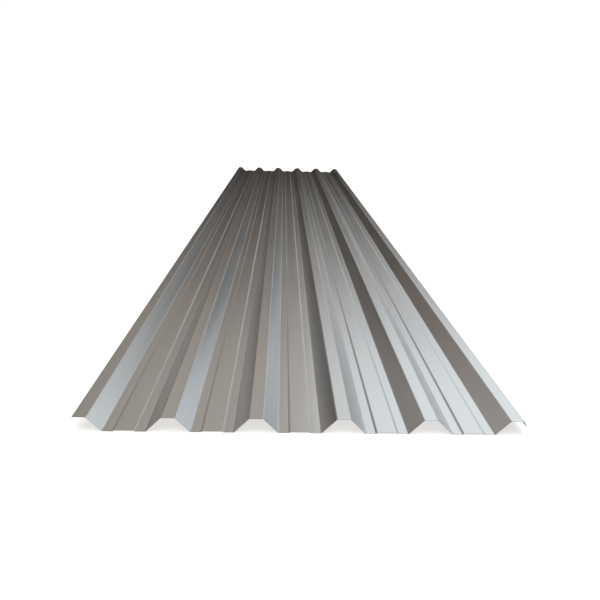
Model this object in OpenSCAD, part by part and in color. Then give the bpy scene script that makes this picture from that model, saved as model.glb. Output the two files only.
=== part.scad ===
// Ribbed roofing and cladding sheet, roll formed from one strip of coated steel.
// The ribs run along Y, the sheet's width lies along X, and the troughs rest on Z = 0. The origin is
// midway along the sheet and midway between its side edges.

/* [Sheet] */
// Length of the sheet, along its ribs
sheet_len = 6000; // [1000:100:12000]
// Thickness of the steel strip
steel_t = 0.5; // [0.35:0.05:1.2]

/* [Ribs] */
// Distance from the centre of one rib to the centre of the next
rib_pitch = 200; // [170:5:300]
// Number of troughs, which is one less than the number of ribs
trough_count = 5; // [2:1:8]
// Height of the crowns' top face above the troughs' underside
profile_h = 35; // [20:1:60]
// Width of a rib's flat crown, from fold line to fold line
crown_w = 32; // [20:1:60]
// Width that one sloping side of a rib takes up, seen from above
web_run = 35; // [15:1:50]
// Radius on the inside of every fold
fold_r = 2.5; // [1:0.5:5]

/* [Trough stiffener] */
// Width of the raised flat along the middle of each trough
stiffener_w = 46.5; // [20:0.5:80]
// Height of the raised flat above the trough
stiffener_h = 3; // [1:0.5:6]
// Width of each small slope beside the raised flat
stiffener_run = 2.5; // [2:0.5:10]

/* [Side laps] */
// Width of the crown along the left edge, which covers the next sheet
over_lap_w = 31.5; // [20:0.5:60]
// Width of the crown along the right edge, which the next sheet covers
under_lap_w = 29; // [20:0.5:60]
// Length of the leg turned down along the right edge
leg_len = 17; // [8:0.5:35]
// Angle of that leg below the level
leg_angle = 60; // [30:1:80]

/* [Hidden] */
fold_steps = 4; // chords in one fold
mid_r = fold_r + steel_t / 2; // radius of a fold, at mid thickness
mid_h = profile_h - steel_t; // height of the crowns above the troughs, at mid thickness
strip_w = (rib_pitch - crown_w - 2 * web_run - stiffener_w - 2 * stiffener_run) / 2;
cover_w = trough_count * rib_pitch;

// Fold lines of one trough and of the two webs beside it, at mid thickness, from the rib centred on x.
function trough_folds(x) =
    let (
        low = x + crown_w / 2 + web_run,
        rise = low + strip_w,
        top = rise + stiffener_run,
        fall = top + stiffener_w,
        flat = fall + stiffener_run,
        high = flat + strip_w
    )
    [
        [x + crown_w / 2, mid_h],
        [low, 0],
        [rise, 0],
        [top, stiffener_h],
        [fall, stiffener_h],
        [flat, 0],
        [high, 0],
        [high + web_run, mid_h],
    ];

// Side edges of the sheet, measured from the centre of the first rib, and that rib's place when the
// origin lies midway between them.
left_edge = crown_w / 2 - over_lap_w;
leg_top = cover_w - crown_w / 2 + under_lap_w;
leg_tip = leg_top + leg_len * cos(leg_angle);
first_rib = -(left_edge + leg_tip + steel_t / 2 * sin(leg_angle)) / 2;

// The whole section as a line at mid thickness: the left edge, every fold, then the right edge.
section = concat(
    [[first_rib + left_edge, mid_h]],
    [for (i = [0:trough_count - 1]) each trough_folds(first_rib + i * rib_pitch)],
    [
        [first_rib + leg_top, mid_h],
        [first_rib + leg_tip, mid_h - leg_len * sin(leg_angle)],
    ]
);
last = len(section) - 1;

// Direction of the stretch that starts at point i, in degrees from +X.
function heading(i) =
    let (d = section[i + 1] - section[i])
    atan2(d[1], d[0]);

// Unit vector square to a heading, on its upper side.
function upward(angle) = [-sin(angle), cos(angle)];

// One face's points round the fold at point i. face is 1 for the upper face and -1 for the lower one.
function fold_points(i, face) =
    let (
        before = heading(i - 1),
        after = heading(i),
        turn = after - before,
        side = sign(turn),
        centre = section[i] + side * mid_r / cos(turn / 2) * upward((before + after) / 2)
    )
    [
        for (step = [0:fold_steps])
            centre - (side * mid_r - face * steel_t / 2) * upward(before + turn * step / fold_steps)
    ];

// One face of the section, from the left edge to the right edge.
function face_points(face) =
    concat(
        [section[0] + face * steel_t / 2 * upward(heading(0))],
        [for (i = [1:last - 1]) each fold_points(i, face)],
        [section[last] + face * steel_t / 2 * upward(heading(last - 1))]
    );

function reversed(points) = [for (i = [len(points) - 1:-1:0]) points[i]];

module trapezoidal_sheet() {
    color([0.66, 0.67, 0.67])
        translate([0, sheet_len / 2, steel_t / 2])
            rotate([90, 0, 0])
                linear_extrude(height = sheet_len)
                    polygon(concat(face_points(1), reversed(face_points(-1))));
}

trapezoidal_sheet();
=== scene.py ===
from math import pi, radians

import bpy
import numpy as np
from mathutils import Matrix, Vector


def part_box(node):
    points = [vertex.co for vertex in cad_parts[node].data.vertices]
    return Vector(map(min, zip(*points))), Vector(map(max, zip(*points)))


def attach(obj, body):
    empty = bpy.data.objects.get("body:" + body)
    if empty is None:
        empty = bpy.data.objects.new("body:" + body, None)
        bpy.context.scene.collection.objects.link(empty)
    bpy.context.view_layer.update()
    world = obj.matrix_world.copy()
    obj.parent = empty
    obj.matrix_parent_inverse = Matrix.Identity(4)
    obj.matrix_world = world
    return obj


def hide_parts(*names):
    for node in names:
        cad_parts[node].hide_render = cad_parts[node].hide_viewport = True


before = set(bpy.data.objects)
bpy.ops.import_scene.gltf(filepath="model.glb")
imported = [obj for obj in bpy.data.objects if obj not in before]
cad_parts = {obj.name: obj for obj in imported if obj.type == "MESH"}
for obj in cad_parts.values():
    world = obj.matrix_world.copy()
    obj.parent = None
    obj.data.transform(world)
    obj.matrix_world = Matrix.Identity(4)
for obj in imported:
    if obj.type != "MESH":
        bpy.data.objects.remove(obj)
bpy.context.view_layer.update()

# A ribbed roofing sheet, roll formed from aluminium-zinc coated steel strip, lying on a studio floor.
# Metres throughout. X is across the ribs, Y along them, and Z up.

nodeName = "trapezoidal_sheet"
sheetLow, sheetHigh = (np.array(corner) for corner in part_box(nodeName))


def linearColour(hexCode):
    # sRGB hex to linear light: c / 12.92 below 0.04045, else ((c + 0.055) / 1.055) ** 2.4
    srgb = np.array([int(hexCode[i : i + 2], 16) for i in (1, 3, 5)]) / 255
    linear = np.where(srgb <= 0.04045, srgb / 12.92, ((srgb + 0.055) / 1.055) ** 2.4)
    return (*linear.tolist(), 1.0)


def addNode(tree, kind, settings=None, sockets=None):
    # Adds one node. Settings go on the node itself. A socket's value is set, or linked where it is
    # another node's output.
    node = tree.nodes.new(kind)
    for name, value in (settings or {}).items():
        setattr(node, name, value)
    for name, value in (sockets or {}).items():
        if isinstance(value, bpy.types.NodeSocket):
            tree.links.new(value, node.inputs[name])
        else:
            node.inputs[name].default_value = value
    return node


sheet = {
    "gauge": 0.0005,  # strip thickness
    "pitch": 0.200,  # rib centre to rib centre
    "troughs": 5,
    "crown": 0.032,  # flat top of a rib
    "web": 0.035,  # width of one sloping side, seen from above
    "stiffener": 0.0465,  # raised flat along a trough
    "stiffenerRise": 0.003,
    "stiffenerSlope": 0.0025,  # width of each small slope beside it
    "overLap": 0.0315,  # crown along the left edge
    "underLap": 0.029,  # crown along the right edge
    "leg": 0.017,  # turned down along the right edge
    "legAngle": radians(60),
    "foldRadius": 0.0025,  # inside of every fold
    "foldSteps": 4,
    "flatShares": np.array([0, 0.04, 0.25, 0.5, 0.75, 0.96, 1]),  # where a flat's points lie across it
    "stations": 101,  # along the sheet
    "sharpAngle": radians(35),  # between faces that meet in a crisp edge
    "oilCan": 0.0003,  # how far a flat wanders between its folds
    "edgeWave": 0.00055,  # how far a free edge dips
    "waveLengths": np.array([0.31, 0.47, 0.83, 1.30, 2.10]),  # of that wander, along the sheet
    "waveShares": np.array([0.12, 0.20, 0.26, 0.22, 0.20]),
    "seed": 11,
}


def foldCorners(s):
    # Fold lines at mid thickness, left to right. Every trough has the same eight, a pitch apart,
    # between the left edge and the two corners of the right edge.
    top = sheetHigh[2] - sheetLow[2] - s["gauge"]
    slope = s["stiffenerSlope"]
    strip = (s["pitch"] - s["crown"] - 2 * s["web"] - s["stiffener"] - 2 * slope) / 2
    steps = [s["crown"] / 2, s["web"], strip, slope, s["stiffener"], slope, strip, s["web"]]
    up = np.array([top, 0, 0, s["stiffenerRise"], s["stiffenerRise"], 0, 0, top])
    firstRib = sheetLow[0] + s["overLap"] - s["crown"] / 2
    ribs = firstRib + s["pitch"] * np.arange(s["troughs"])
    x = (ribs[:, None] + np.cumsum(steps)).ravel()
    z = np.tile(up, s["troughs"])
    legTop = x[-1] + s["underLap"]
    x = np.concatenate([[sheetLow[0]], x, [legTop, legTop + s["leg"] * np.cos(s["legAngle"])]])
    z = np.concatenate([[top], z, [top, top - s["leg"] * np.sin(s["legAngle"])]])
    return np.stack([x, z + sheetLow[2] + s["gauge"] / 2], axis=1)


def upward(angle):
    # Unit vector a quarter turn left of a heading: (-sin a, cos a)
    return np.stack([-np.sin(angle), np.cos(angle)], axis=-1)


def foldedLine(s, corners):
    # The line through the corners with an arc at each. A flat runs between tangent points, which lie
    # radius * tan(turn / 2) from a corner, and an arc's point is its centre less radius times the
    # upward vector of a heading that turns evenly from one flat's to the next's. "share" is how far
    # across its flat a point is, from 0 to 1.
    radius = s["foldRadius"] + s["gauge"] / 2
    shares = s["flatShares"]
    runs = np.diff(corners, axis=0)
    lengths = np.hypot(*runs.T)
    headings = np.arctan2(runs[:, 1], runs[:, 0])
    along = runs / lengths[:, None]
    turns = np.diff(headings)
    tangents = np.pad(radius * np.tan(np.abs(turns) / 2), 1)
    starts = corners[:-1] + along * tangents[:-1, None]
    ends = corners[1:] - along * tangents[1:, None]
    flats = starts[:, None] + (ends - starts)[:, None] * shares[None, :, None]
    flatNormals = np.broadcast_to(upward(headings)[:, None], flats.shape)
    arcHeadings = headings[:-1, None] + turns[:, None] * np.arange(1, s["foldSteps"]) / s["foldSteps"]
    toCentre = np.sign(turns)[:, None] * radius
    halfway = upward((headings[:-1] + headings[1:]) / 2)
    centres = corners[1:-1] + toCentre / np.cos(turns / 2)[:, None] * halfway
    arcs = centres[:, None] - toCentre[:, None] * upward(arcHeadings)

    def interleaved(onFlats, onArcs):
        both = np.concatenate([onFlats[:-1], onArcs], axis=1)
        return np.concatenate([both.reshape(-1, *both.shape[2:]), onFlats[-1]])

    flatNumbers = np.arange(len(lengths))[:, None]
    onFlat, onArc = np.ones((len(lengths), len(shares))), np.ones((len(turns), s["foldSteps"] - 1))
    return {
        "points": interleaved(flats, arcs),
        "normals": interleaved(flatNormals, upward(arcHeadings)),
        "flat": interleaved(onFlat * flatNumbers, onArc * flatNumbers[:-1]).astype(int),
        "share": interleaved(onFlat * shares, onArc),
        "widths": lengths,
    }


def wander(s, line, corners, along):
    # How far the steel stands off its true section, along its upward side, at each station (rows) and
    # point of the section (columns): the flat's own height times (4 t (1 - t)) ** 2 across it, times
    # a slow wave along it, which is a sum of sines. Troughs only rise and crowns only sink, so the
    # sheet never leaves its true depth. A free edge dips by its own depth times t ** 2 across its flat,
    # times one less the size of the wave.
    draw = np.random.default_rng(s["seed"])
    flat, share, widths = line["flat"], line["share"], line["widths"]
    phases = draw.uniform(0, 2 * pi, (len(widths), len(s["waveLengths"])))
    angles = 2 * pi * along[:, None, None] / s["waveLengths"] + phases
    wave = (np.sin(angles) * s["waveShares"]).sum(axis=2)
    z = corners[:, 1]
    isLow = np.isclose(z[:-1], z.min()) & np.isclose(z[1:], z.min())
    isHigh = np.isclose(z[:-1], z.max()) & np.isclose(z[1:], z.max())
    wave = np.where(isLow, 0.5 + 0.5 * wave, np.where(isHigh, -0.5 + 0.5 * wave, wave))
    isInner = (flat > 0) & (flat < len(widths) - 1)
    height = s["oilCan"] * np.clip(widths / s["stiffener"], 0, 1)
    offset = wave[:, flat] * height[flat] * (4 * share * (1 - share)) ** 2 * isInner
    toEdge = np.where(flat == 0, 1 - share, 0) + np.where(flat == len(widths) - 1, share, 0)
    return offset - s["edgeWave"] * toEdge**2 * (1 - np.abs(wave[:, flat]))


def makeSheet(s):
    # The folded line carried along Y, half the gauge above and half below it, closed at both cut
    # ends and along both side edges.
    corners = foldCorners(s)
    line = foldedLine(s, corners)
    along = np.linspace(sheetLow[1], sheetHigh[1], s["stations"])
    offset = wander(s, line, corners, along)
    points, normals = line["points"], line["normals"]
    stations, width = offset.shape

    def face(side):
        section = points + (offset + side * s["gauge"] / 2)[..., None] * normals
        lengthwise = np.repeat(along[:, None], width, axis=1)
        return np.stack([section[..., 0], lengthwise, section[..., 1]], axis=-1)

    ring = np.concatenate([face(1), face(-1)[:, ::-1]], axis=1)
    around = ring.shape[1]
    index = np.arange(stations * around).reshape(stations, around)
    here, ahead = index[:-1], index[1:]
    walls = np.stack([here, np.roll(here, -1, 1), np.roll(ahead, -1, 1), ahead], axis=-1)
    upper, lower = index[:, :width], index[:, ::-1][:, :width]
    cap = np.stack([lower[:, :-1], lower[:, 1:], upper[:, 1:], upper[:, :-1]], axis=-1)
    quads = np.concatenate([walls.reshape(-1, 4), cap[0], cap[-1][:, ::-1]])
    isCut = np.zeros(walls.shape[:2], bool)  # both side edges and both ends are
    isCut[:, [width - 1, around - 1]] = True
    isCut = np.concatenate([isCut.ravel(), np.ones(2 * (width - 1), bool)])

    mesh = bpy.data.meshes.new("formedSheet")
    mesh.from_pydata(ring.reshape(-1, 3), [], quads.tolist())
    mesh.polygons.foreach_set("material_index", isCut.astype(np.int32))
    mesh.polygons.foreach_set("use_smooth", np.ones(len(quads), bool))
    mesh.set_sharp_from_angle(angle=s["sharpAngle"])

    # Each point's place on the strip before it was folded: across, along, and 0 on the upper face or
    # 1 on the lower. What the rolls leave follows it.
    across = np.concatenate([[0], np.cumsum(np.hypot(*np.diff(points, axis=0).T))])
    strip = np.zeros((stations, around, 3))
    strip[..., 0] = np.concatenate([across, across[::-1]])
    strip[..., 1] = along[:, None]
    strip[:, width:, 2] = 1
    mesh.attributes.new("strip", "FLOAT_VECTOR", "POINT").data.foreach_set("vector", strip.ravel())

    # distance to the nearest fold, which is 0 round each fold
    flat, share, widths = line["flat"], line["share"], line["widths"]
    nearest = np.where(flat == 0, 1 - share, np.where(flat == len(widths) - 1, share, 0))
    nearest = np.where((flat > 0) & (flat < len(widths) - 1), np.minimum(share, 1 - share), nearest)
    toFold = nearest * widths[flat]
    toFold = np.broadcast_to(np.concatenate([toFold, toFold[::-1]]), (stations, around))
    mesh.attributes.new("toFold", "FLOAT", "POINT").data.foreach_set("value", toFold.ravel())
    mesh.update()
    mesh.validate()
    piece = bpy.data.objects.new("formedSheet", mesh)
    bpy.context.scene.collection.objects.link(piece)
    print("sheet:", len(quads), "quads,", width, "points across,", stations, "stations")
    return piece


coating = {
    "cool": "#d0d3d4",  # the alloy's own tone drifts between these two
    "warm": "#d5d3d0",
    "roughness": 0.30,
    "spangle": 0.005,  # crystals; real ones are 1 to 2 mm, too fine to show
    "spangleTone": 0.04,
    "spangleRoughness": 0.03,
    "spangleRelief": 0.00001,
    # Size across and along the strip, detail, then swing in tone, swing in roughness, and relief. Real
    # roller streaks are about 1 mm wide and handling scratches under 0.3 mm, both too fine to show.
    # The last two are only shaped here, and are added through their peaks below.
    "noises": {
        "rollerStreaks": (0.0045, 0.9, 2, 0.09, 0.05, 0),
        "wideBands": (0.035, 3.0, 1, 0.08, 0.04, 0),
        "drift": (0.28, 0.5, 2, 0.06, 0.02, 0),
        "scuffs": (0.005, 0.07, 3, 0, 0, 0),
        "scratches": (0.0014, 0.16, 0, 0, 0, 0),
    },
    "foldShadeAndRoughness": 0.16,  # painted shade round a fold: the tone darker by this, and the roughness higher by it
    "foldWidth": 0.0012,
    "scuffTone": 0.05,  # burnished by the rolls' shoulders, in broken lines beside the folds
    "scuffNear": 0.0015,  # from the fold, where a scuff is full
    "scuffFar": 0.005,  # and where it has faded out
    "scuffPeaks": (0.5, 0.75),  # heights of the noise between which a scuff comes up
    "scratchTone": 0.04,  # brighter and rougher by this
    "scratchPeaks": (0.74, 0.80),
    # tone of the matt dust patches, which also paint in glints
    "dustAndGlint": "#8f8a83",
    # matt dust patches, partly painted glints along the far ribs, the last a painted glint along the
    # right edge's crown: middle x and y, half width, half length, strength
    "dustAndGlintMarks": [
        (0.020, 1.83, 0.010, 0.34, 0.8),
        (0.036, 1.62, 0.005, 0.16, 0.7),
        (0.038, 0.78, 0.006, 0.30, 0.3),
        (0.345, 1.46, 0.005, 0.28, 0.7),
        (-0.400, 1.77, 0.005, 0.15, 0.5),
        (0.478, 1.70, 0.003, 0.50, 0.5),
    ],
}


def coatedSteelMaterial(c):
    # Steel strip hot dipped in aluminium-zinc alloy, temper rolled and then roll formed: a satin
    # silver grey. A fine frosty spangle and lengthwise roller streaks break up its soft reflections,
    # and each fold is rougher, with painted shade on it and burnished scuffs beside it.
    material = bpy.data.materials.new("rollFormedAluminiumZincSteel")
    material.use_nodes = True
    tree = material.node_tree
    tree.nodes.clear()
    strip = addNode(tree, "ShaderNodeAttribute", {"attribute_name": "strip"}).outputs["Vector"]
    toFold = addNode(tree, "ShaderNodeAttribute", {"attribute_name": "toFold"}).outputs["Fac"]
    place = addNode(tree, "ShaderNodeTexCoord").outputs["Object"]

    # each pattern runs from 0 to 1 and is added with its swings in tone, roughness and relief
    crystals = addNode(
        tree, "ShaderNodeTexVoronoi", sockets={"Vector": strip, "Scale": 1 / c["spangle"]}
    )
    crystal = addNode(tree, "ShaderNodeSeparateColor", sockets={"Color": crystals.outputs["Color"]})
    layers = [
        (crystal.outputs["Red"], c["spangleTone"], c["spangleRoughness"], 0),
        (crystals.outputs["Distance"], 0, 0, c["spangleRelief"]),
    ]
    noises = {}
    for name, (across, along, detail, toneSwing, roughSwing, relief) in c["noises"].items():
        stretched = addNode(
            tree,
            "ShaderNodeMapping",
            sockets={"Vector": strip, "Scale": (1 / across, 1 / along, 1)},
        )
        noise = addNode(
            tree,
            "ShaderNodeTexNoise",
            sockets={"Vector": stretched.outputs[0], "Scale": 1.0, "Detail": detail},
        )
        noises[name] = noise.outputs["Fac"]
        layers.append((noise.outputs["Fac"], toneSwing, roughSwing, relief))

    # those patterns swing about the middle, and the ones below only add
    toneSwings, roughSwings = (sum(layer[part] for layer in layers) for part in (1, 2))
    sums = [1 - toneSwings / 2, c["roughness"] - roughSwings / 2, 0.0]  # tone, roughness and height

    # round each fold: painted shade, a darker tone, and a rougher coating
    folded = addNode(
        tree,
        "ShaderNodeMapRange",
        {"interpolation_type": "SMOOTHSTEP"},
        {"Value": toFold, "From Min": c["foldWidth"], "From Max": 0.0},
    ).outputs[0]
    # painted shade: the tone darker and the roughness higher round each fold
    layers.append((folded, -c["foldShadeAndRoughness"], c["foldShadeAndRoughness"], 0))

    # scuffs: beside a fold, where a stretched noise is high
    beside = addNode(
        tree,
        "ShaderNodeMapRange",
        {"interpolation_type": "SMOOTHSTEP"},
        {"Value": toFold, "From Min": c["scuffFar"], "From Max": c["scuffNear"]},
    ).outputs[0]
    low, high = c["scuffPeaks"]
    broken = addNode(
        tree,
        "ShaderNodeMapRange",
        sockets={"Value": noises["scuffs"], "From Min": low, "From Max": high},
    ).outputs[0]
    scuffs = addNode(
        tree, "ShaderNodeMath", {"operation": "MULTIPLY"}, {0: beside, 1: broken}
    ).outputs[0]
    layers.append((scuffs, c["scuffTone"], 0, 0))

    # scratches: the narrow peaks of a noise stretched along the strip
    low, high = c["scratchPeaks"]
    scratches = addNode(
        tree,
        "ShaderNodeMapRange",
        sockets={"Value": noises["scratches"], "From Min": low, "From Max": high},
    ).outputs[0]
    layers.append((scratches, c["scratchTone"], c["scratchTone"], 0))

    for pattern, *swings in layers:
        for number, swing in enumerate(swings):
            if swing:
                sums[number] = addNode(
                    tree,
                    "ShaderNodeMath",
                    {"operation": "MULTIPLY_ADD"},
                    {0: pattern, 1: swing, 2: sums[number]},
                ).outputs[0]
    tone, rough, height = sums

    # dust and painted glints: an ellipse round each mark's middle, broken up by the streaks
    dustAndGlint = 0.0
    for x, y, halfWidth, halfLength, strength in c["dustAndGlintMarks"]:
        centredOn = addNode(
            tree,
            "ShaderNodeMapping",
            sockets={
                "Vector": place,
                "Location": (-x / halfWidth, -y / halfLength, 0),
                "Scale": (1 / halfWidth, 1 / halfLength, 0),
            },
        )
        away = addNode(
            tree, "ShaderNodeVectorMath", {"operation": "LENGTH"}, {0: centredOn.outputs[0]}
        )
        mark = addNode(
            tree,
            "ShaderNodeMapRange",
            {"interpolation_type": "SMOOTHSTEP"},
            {"Value": away.outputs["Value"], "From Min": 1.0, "From Max": 0.0, "To Max": strength},
        )
        dustAndGlint = addNode(
            tree, "ShaderNodeMath", {"operation": "MAXIMUM"}, {0: mark.outputs[0], 1: dustAndGlint}
        ).outputs[0]
    dustAndGlint = addNode(
        tree, "ShaderNodeMath", {"operation": "MULTIPLY"}, {0: dustAndGlint, 1: noises["rollerStreaks"]}
    ).outputs[0]

    # a Mix node's colours are its sockets 6 and 7
    alloy = addNode(
        tree,
        "ShaderNodeMix",
        {"data_type": "RGBA"},
        {0: noises["drift"], 6: linearColour(c["cool"]), 7: linearColour(c["warm"])},
    ).outputs[2]
    toned = addNode(
        tree, "ShaderNodeVectorMath", {"operation": "SCALE"}, {0: alloy, "Scale": tone}
    ).outputs[0]
    # the dust patches and painted glints are matt grey and less metallic
    colour = addNode(
        tree, "ShaderNodeMix", {"data_type": "RGBA"}, {0: dustAndGlint, 6: toned, 7: linearColour(c["dustAndGlint"])}
    ).outputs[2]
    metallic = addNode(tree, "ShaderNodeMath", {"operation": "SUBTRACT"}, {0: 1.0, 1: dustAndGlint})
    bump = addNode(tree, "ShaderNodeBump", sockets={"Height": height, "Distance": 1.0})
    shader = addNode(
        tree,
        "ShaderNodeBsdfPrincipled",
        sockets={
            "Base Color": colour,
            "Metallic": metallic.outputs[0],
            "Roughness": rough,
            "Normal": bump.outputs[0],
        },
    )
    addNode(tree, "ShaderNodeOutputMaterial", sockets={"Surface": shader.outputs[0]})
    return material


cutEdge = {
    "bright": "#8d8a85",
    "dark": "#5f5b56",
    "roughness": 0.5,
    "roughnessSwing": 0.1,
    "tearLength": 0.004,  # of the tears that shearing leaves; real ones are shorter than 1 mm
    "tearDetail": 2,
    "tearDepth": 0.00003,
}


def cutEdgeMaterial(c):
    # Sheared steel edge: bare grey steel, matt and darker than the coating, mottled by fine tears.
    material = bpy.data.materials.new("shearedSteelEdge")
    material.use_nodes = True
    tree = material.node_tree
    tree.nodes.clear()
    place = addNode(tree, "ShaderNodeTexCoord").outputs["Object"]
    tears = addNode(
        tree,
        "ShaderNodeTexNoise",
        sockets={"Vector": place, "Scale": 1 / c["tearLength"], "Detail": c["tearDetail"]},
    ).outputs["Fac"]
    colour = addNode(
        tree,
        "ShaderNodeMix",
        {"data_type": "RGBA"},
        {0: tears, 6: linearColour(c["dark"]), 7: linearColour(c["bright"])},
    ).outputs[2]
    rough = addNode(
        tree,
        "ShaderNodeMapRange",
        sockets={
            "Value": tears,
            "To Min": c["roughness"] + c["roughnessSwing"],
            "To Max": c["roughness"] - c["roughnessSwing"],
        },
    ).outputs[0]
    bump = addNode(
        tree, "ShaderNodeBump", sockets={"Height": tears, "Distance": c["tearDepth"]}
    ).outputs[0]
    shader = addNode(
        tree,
        "ShaderNodeBsdfPrincipled",
        sockets={"Base Color": colour, "Metallic": 1.0, "Roughness": rough, "Normal": bump},
    )
    addNode(tree, "ShaderNodeOutputMaterial", sockets={"Surface": shader.outputs[0]})
    return material


sheetPiece = makeSheet(sheet)
sheetPiece.data.materials.append(coatedSteelMaterial(coating))
sheetPiece.data.materials.append(cutEdgeMaterial(cutEdge))
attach(sheetPiece, "root")
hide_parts(nodeName)
print("materials: coated steel and sheared edge")


floor = {
    "size": 60.0,
    "tone": "#f2f2f1",
    "roughness": 0.9,
    "shadowedLight": 0.7,  # both in W / m2
    "shadowFreeLight": 3.0,
    "spread": radians(80),  # how wide the light from above is
}


def makeFloor(f):
    # A flat square of matt white paint, level with the underside of the troughs: it gives an even
    # pale ground with no shine.
    half = f["size"] / 2
    corners = [(-half, -half, 0), (half, -half, 0), (half, half, 0), (-half, half, 0)]
    mesh = bpy.data.meshes.new("studioFloor")
    mesh.from_pydata(corners, [], [(0, 1, 2, 3)])
    piece = bpy.data.objects.new("studioFloor", mesh)
    piece.location.z = sheetLow[2]
    bpy.context.scene.collection.objects.link(piece)
    material = bpy.data.materials.new("mattWhiteFloorPaint")
    material.use_nodes = True
    tree = material.node_tree
    tree.nodes.clear()
    shader = addNode(
        tree,
        "ShaderNodeBsdfPrincipled",
        sockets={"Base Color": linearColour(f["tone"]), "Roughness": f["roughness"]},
    )
    addNode(tree, "ShaderNodeOutputMaterial", sockets={"Surface": shader.outputs[0]})
    piece.data.materials.append(material)
    piece.visible_glossy = False  # the far end's webs would mirror it as white patches
    return piece


def lightOnly(light, *pieces):
    # keeps a light to these pieces
    receivers = bpy.data.collections.new(light.name + "Receivers")
    for piece in pieces:
        receivers.objects.link(piece)
    light.light_linking.receiver_collection = receivers


def lightFloor(f, piece):
    # Soft light from straight above on the floor alone, part of it without shadows, so that the floor
    # is even and white with a faint shadow round the sheet.
    for name in ("shadowedLight", "shadowFreeLight"):
        data = bpy.data.lights.new(name, "SUN")
        data.energy = f[name]
        data.angle = f["spread"]
        data.use_shadow = name == "shadowedLight"
        light = bpy.data.objects.new(data.name, data)
        bpy.context.scene.collection.objects.link(light)
        lightOnly(light, piece)


# Flat lights that make up the tent round the sheet. Each has its middle, width, length along Y,
# brightness, tone, and how many degrees it is turned about Y from facing straight down. The brightest
# hangs over the right side, where the light is cooler.
panels = {
    "overRight": ((1.65, -1.5, 1.6), 2.7, 7.5, 1.25, "#f4faff", 0),
    "overMiddle": ((-0.6, 0.0, 1.6), 1.8, 4.5, 0.52, "#fff5ec", 0),
    "overMiddleNear": ((-0.6, -3.75, 1.6), 1.8, 3.0, 0.15, "#fff1e6", 0),
    "overLeft": ((-2.25, -1.5, 1.6), 1.5, 7.5, 0.17, "#ffebdc", 0),
    "overFarRight": ((1.5, 3.75, 1.6), 3.0, 3.0, 0.34, "#fff6ee", 0),
    "overFarLeft": ((-1.5, 3.75, 1.6), 3.0, 3.0, 0.17, "#ffe9da", 0),
    "rightWall": ((2.6, 0.0, 1.2), 0.8, 3.6, 1.20, "#e8f3ff", 90),
    "rightWallFar": ((2.6, 3.4, 0.9), 1.4, 3.2, 0.72, "#ecf5ff", 90),
    "leftWall": ((-2.6, -1.9, 0.8), 1.6, 6.0, 0.15, "#ffffff", -90),
    "leftWallFar": ((-2.6, 2.8, 1.8), 1.2, 2.2, 0.50, "#ffffff", -90),
}


def hangPanels(panels, piece):
    # A panel sends out pi * brightness * width * length watts, and lights the sheet alone.
    for name, (middle, width, length, brightness, tone, turn) in panels.items():
        data = bpy.data.lights.new(name, "AREA")
        data.shape = "RECTANGLE"
        data.size, data.size_y = width, length
        data.energy = pi * brightness * width * length
        data.color = linearColour(tone)[:3]
        light = bpy.data.objects.new(name, data)
        light.location = middle
        light.rotation_euler.y = radians(turn)
        light.visible_camera = False
        bpy.context.scene.collection.objects.link(light)
        lightOnly(light, piece)


tent = {
    "tone": "#fff4ea",
    # angle from the far end's direction, and how bright the tent is there
    "angles": np.radians([0, 4, 8, 35, 45, 60, 80, 100, 122, 150]),
    "brightness": np.array([0.03, 0.02, 0.01, 0.01, 0.02, 0.08, 0.18, 0.28, 0.38, 0.48]),
    "backdrop": "#ffffff",
    "backdropStrength": 1.05,
}


def makeTent(t):
    # Soft light from all round, which depends on the angle from +Y through a colour ramp over
    # (1 - cos angle) / 2. The camera sees a plain white backdrop in its place.
    world = bpy.data.worlds.new("softTent")
    bpy.context.scene.world = world
    world.use_nodes = True
    tree = world.node_tree
    tree.nodes.clear()
    direction = addNode(tree, "ShaderNodeTexCoord").outputs["Generated"]
    parts = addNode(tree, "ShaderNodeSeparateXYZ", sockets={0: direction})
    turned = addNode(
        tree,
        "ShaderNodeMapRange",
        sockets={"Value": parts.outputs["Y"], "From Min": 1.0, "From Max": -1.0},
    )
    ramp = addNode(tree, "ShaderNodeValToRGB", sockets={0: turned.outputs[0]})
    places = (1 - np.cos(t["angles"])) / 2
    stops = ramp.color_ramp.elements
    for number, (place, level) in enumerate(zip(places.tolist(), t["brightness"].tolist())):
        stop = stops[number] if number < 2 else stops.new(place)  # a new ramp has two
        stop.position = place
        stop.color = (level, level, level, 1)
    light = addNode(
        tree,
        "ShaderNodeBackground",
        sockets={"Color": linearColour(t["tone"]), "Strength": ramp.outputs["Color"]},
    )
    backdrop = addNode(
        tree,
        "ShaderNodeBackground",
        sockets={"Color": linearColour(t["backdrop"]), "Strength": t["backdropStrength"]},
    )
    path = addNode(tree, "ShaderNodeLightPath")
    both = addNode(
        tree,
        "ShaderNodeMixShader",
        sockets={0: path.outputs["Is Camera Ray"], 1: light.outputs[0], 2: backdrop.outputs[0]},
    )
    addNode(tree, "ShaderNodeOutputWorld", sockets={"Surface": both.outputs[0]})


camera = {
    "lens": 41.4,  # both in mm
    "sensor": 36.0,
    "place": (-0.0501, -4.4275, 0.7302),
    "down": radians(16.15),
    "right": radians(1.61),
    "roll": radians(1.30),
}


def makeCamera(c):
    # Looks along +Y from the near end, tipped down, turned to the right and rolled a little.
    data = bpy.data.cameras.new("viewCamera")
    data.sensor_width = c["sensor"]
    data.lens = c["lens"]
    view = bpy.data.objects.new("viewCamera", data)
    bpy.context.scene.collection.objects.link(view)
    view.matrix_world = (
        Matrix.Translation(c["place"])
        @ Matrix.Rotation(-c["right"], 4, "Z")
        @ Matrix.Rotation(pi / 2 - c["down"], 4, "X")
        @ Matrix.Rotation(c["roll"], 4, "Z")
    )
    bpy.context.scene.camera = view


floorPiece = makeFloor(floor)
lightFloor(floor, floorPiece)
hangPanels(panels, sheetPiece)
makeTent(tent)
makeCamera(camera)
bpy.context.scene.view_settings.view_transform = "Standard"
print("studio: floor,", len(panels), "panels, tent and camera")

bpy.context.view_layer.update()
